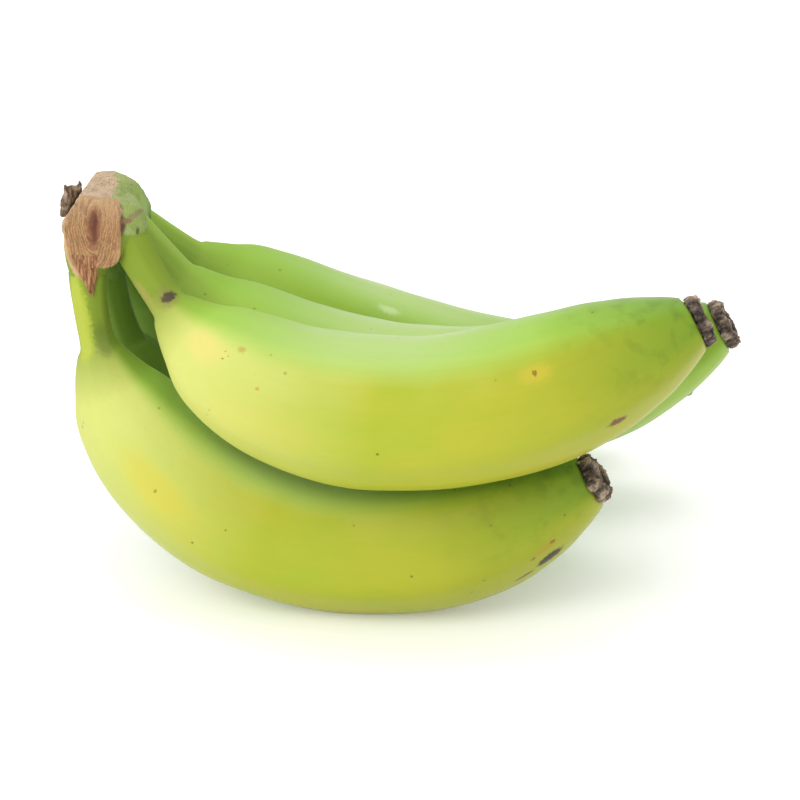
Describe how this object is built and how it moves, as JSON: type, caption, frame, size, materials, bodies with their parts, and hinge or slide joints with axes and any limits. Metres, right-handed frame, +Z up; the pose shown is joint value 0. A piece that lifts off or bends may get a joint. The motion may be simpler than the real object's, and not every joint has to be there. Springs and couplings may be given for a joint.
{
  "type": "bunch of bananas",
  "caption": "Bunch of unripe green bananas in two rows on one cut crown, with dried blossom ends, lying on its lower row.",
  "frame": {"origin": "centre of the bounding box in plan, on the surface the bunch lies on", "axes": "+Z up; +X from the crown to the blossom ends, along the bananas; +Y from the front row of bananas to the back"},
  "size_m": [0.1748, 0.1556, 0.1079],
  "materials": {
    "green_peel": "smooth waxy unripe peel, soft sheen",
    "crown_tissue": "dried knife-cut fibrous tissue, matt",
    "dry_blossom": "cracked corky dead flower end, matt",
    "dry_bract": "papery dried bract, matt"
  },
  "bodies": {
    "root": {"crown": "crown_tissue", "banana_upper_front": "green_peel", "banana_upper_middle": "green_peel", "banana_upper_back": "green_peel", "banana_lower_front": "green_peel", "banana_lower_middle": "green_peel", "banana_lower_back": "green_peel", "blossom_end_upper_front": "dry_blossom", "blossom_end_upper_middle": "dry_blossom", "blossom_end_upper_back": "dry_blossom", "blossom_end_lower_front": "dry_blossom", "blossom_end_lower_middle": "dry_blossom", "blossom_end_lower_back": "dry_blossom", "bract_scrap": "dry_bract"}
  },
  "joints": []
}
